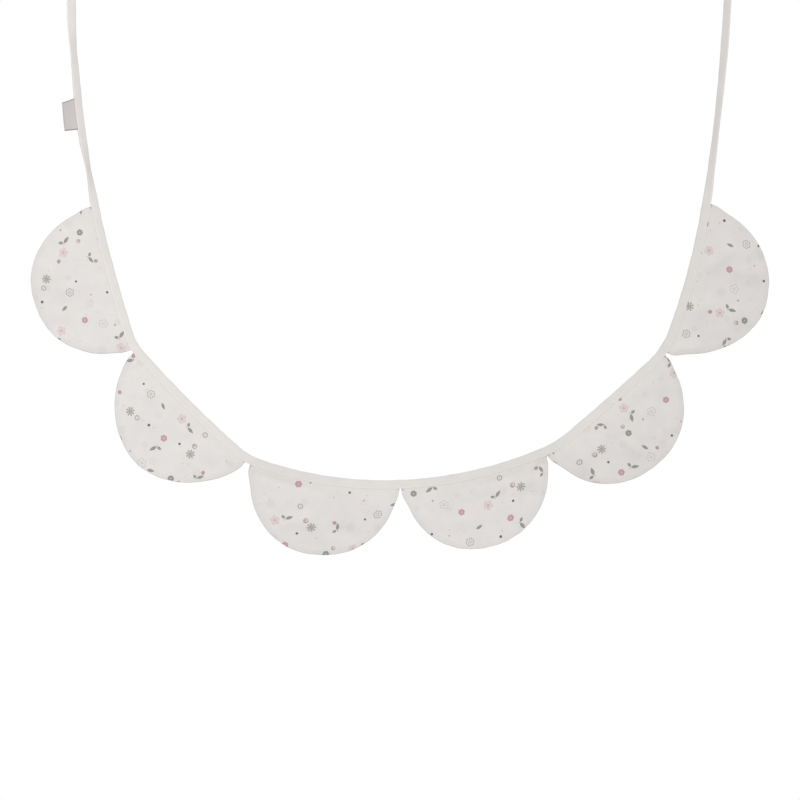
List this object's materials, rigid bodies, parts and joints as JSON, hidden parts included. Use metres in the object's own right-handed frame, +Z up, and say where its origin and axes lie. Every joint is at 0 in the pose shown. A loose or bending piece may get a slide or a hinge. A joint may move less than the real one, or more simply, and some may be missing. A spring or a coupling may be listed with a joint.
{
  "type": "bunting",
  "caption": "Fabric bunting: half-moon flags of ditsy floral print hung from a folded plain heading tape whose long ends are its hanging strings.",
  "frame": {"origin": "top of the left tape end, in the middle of its width and thickness, where the swag is pinned up", "axes": "+Z up, +X along the swag from the left tape end to the right one, printed fronts facing -Y"},
  "size_m": [0.9577, 0.0186, 0.7841],
  "materials": {
    "tape_cloth": "matt plain-woven off-white cotton, folded and topstitched",
    "print_cloth": "matt off-white cotton poplin with a small printed pattern of pink and rose flowers, grey-green leaves and dots",
    "label_weave": "smooth woven light grey ribbon with a darker selvedge stripe"
  },
  "bodies": {
    "root": {"heading_tape": "tape_cloth", "flag_1": "print_cloth", "flag_2": "print_cloth", "flag_3": "print_cloth", "flag_4": "print_cloth", "flag_5": "print_cloth", "flag_6": "print_cloth", "side_label": "label_weave"}
  },
  "joints": []
}
